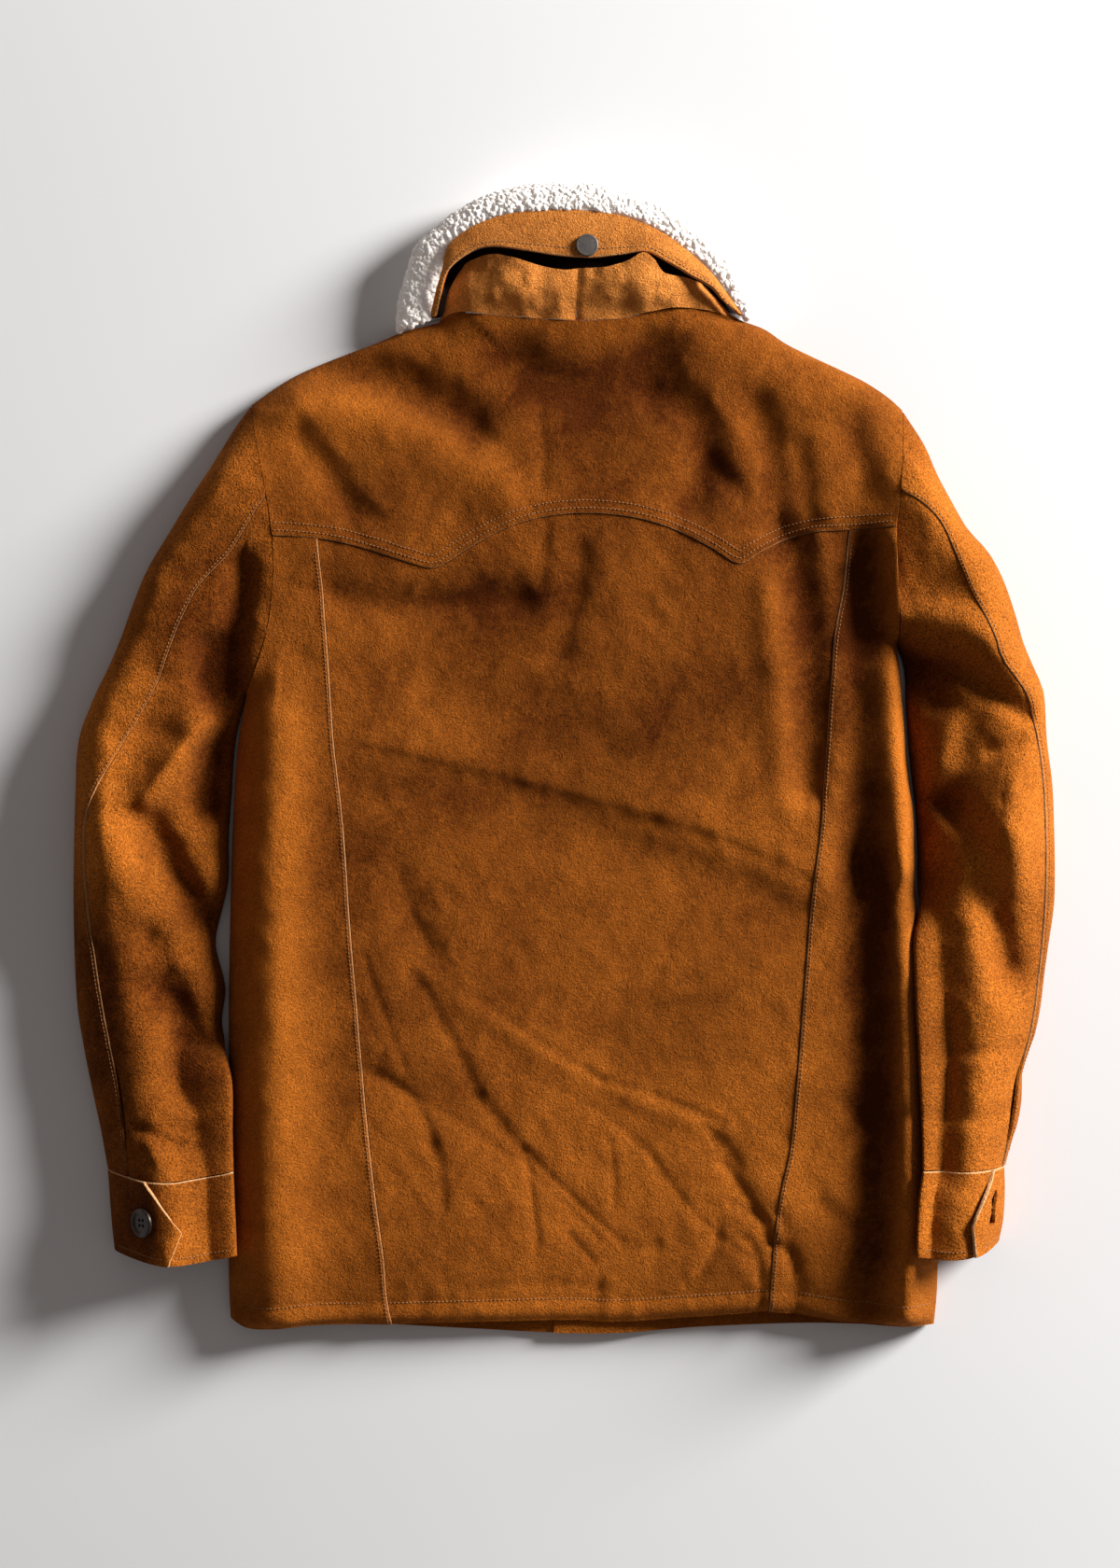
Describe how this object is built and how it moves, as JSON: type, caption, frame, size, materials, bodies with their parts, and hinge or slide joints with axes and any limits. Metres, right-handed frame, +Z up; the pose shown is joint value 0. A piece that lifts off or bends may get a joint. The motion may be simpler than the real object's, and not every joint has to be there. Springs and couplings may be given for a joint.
{
  "type": "suede jacket laid flat",
  "caption": "Suede jacket with a western back yoke, two-piece sleeves, buttoned cuffs and a shearling collar, laid face down with its back up",
  "frame": {"origin": "middle of the bottom of the bounding box, on the surface that the jacket lies on", "axes": "+Y from the hem to the collar, +Z up from the surface, +X to the right as seen from above with the collar away from the viewer"},
  "size_m": [0.711, 0.8298, 0.0641],
  "materials": {
    "body_suede": "napped suede, matt",
    "sleeve_suede": "coarser napped suede, matt",
    "collar_suede": "napped suede, matt",
    "fleece": "curly shearling",
    "button_horn": "polished dark horn",
    "snap_metal": "gunmetal"
  },
  "bodies": {
    "root": {"back_yoke": "body_suede", "back_centre": "body_suede", "back_side_left": "body_suede", "back_side_right": "body_suede", "front_left": "body_suede", "front_right": "body_suede", "sleeve_outer_left": "sleeve_suede", "sleeve_inner_left": "sleeve_suede", "sleeve_outer_right": "sleeve_suede", "sleeve_inner_right": "sleeve_suede", "cuff_left": "sleeve_suede", "cuff_right": "sleeve_suede", "cuff_button_left": "button_horn", "cuff_button_right": "button_horn", "front_button_1": "button_horn", "front_button_2": "button_horn", "front_button_3": "button_horn", "front_button_4": "button_horn", "front_button_5": "button_horn", "collar_stand_left": "collar_suede", "collar_stand_right": "collar_suede", "collar_band": "collar_suede", "collar_fleece": "fleece", "collar_snap": "snap_metal"}
  },
  "joints": []
}
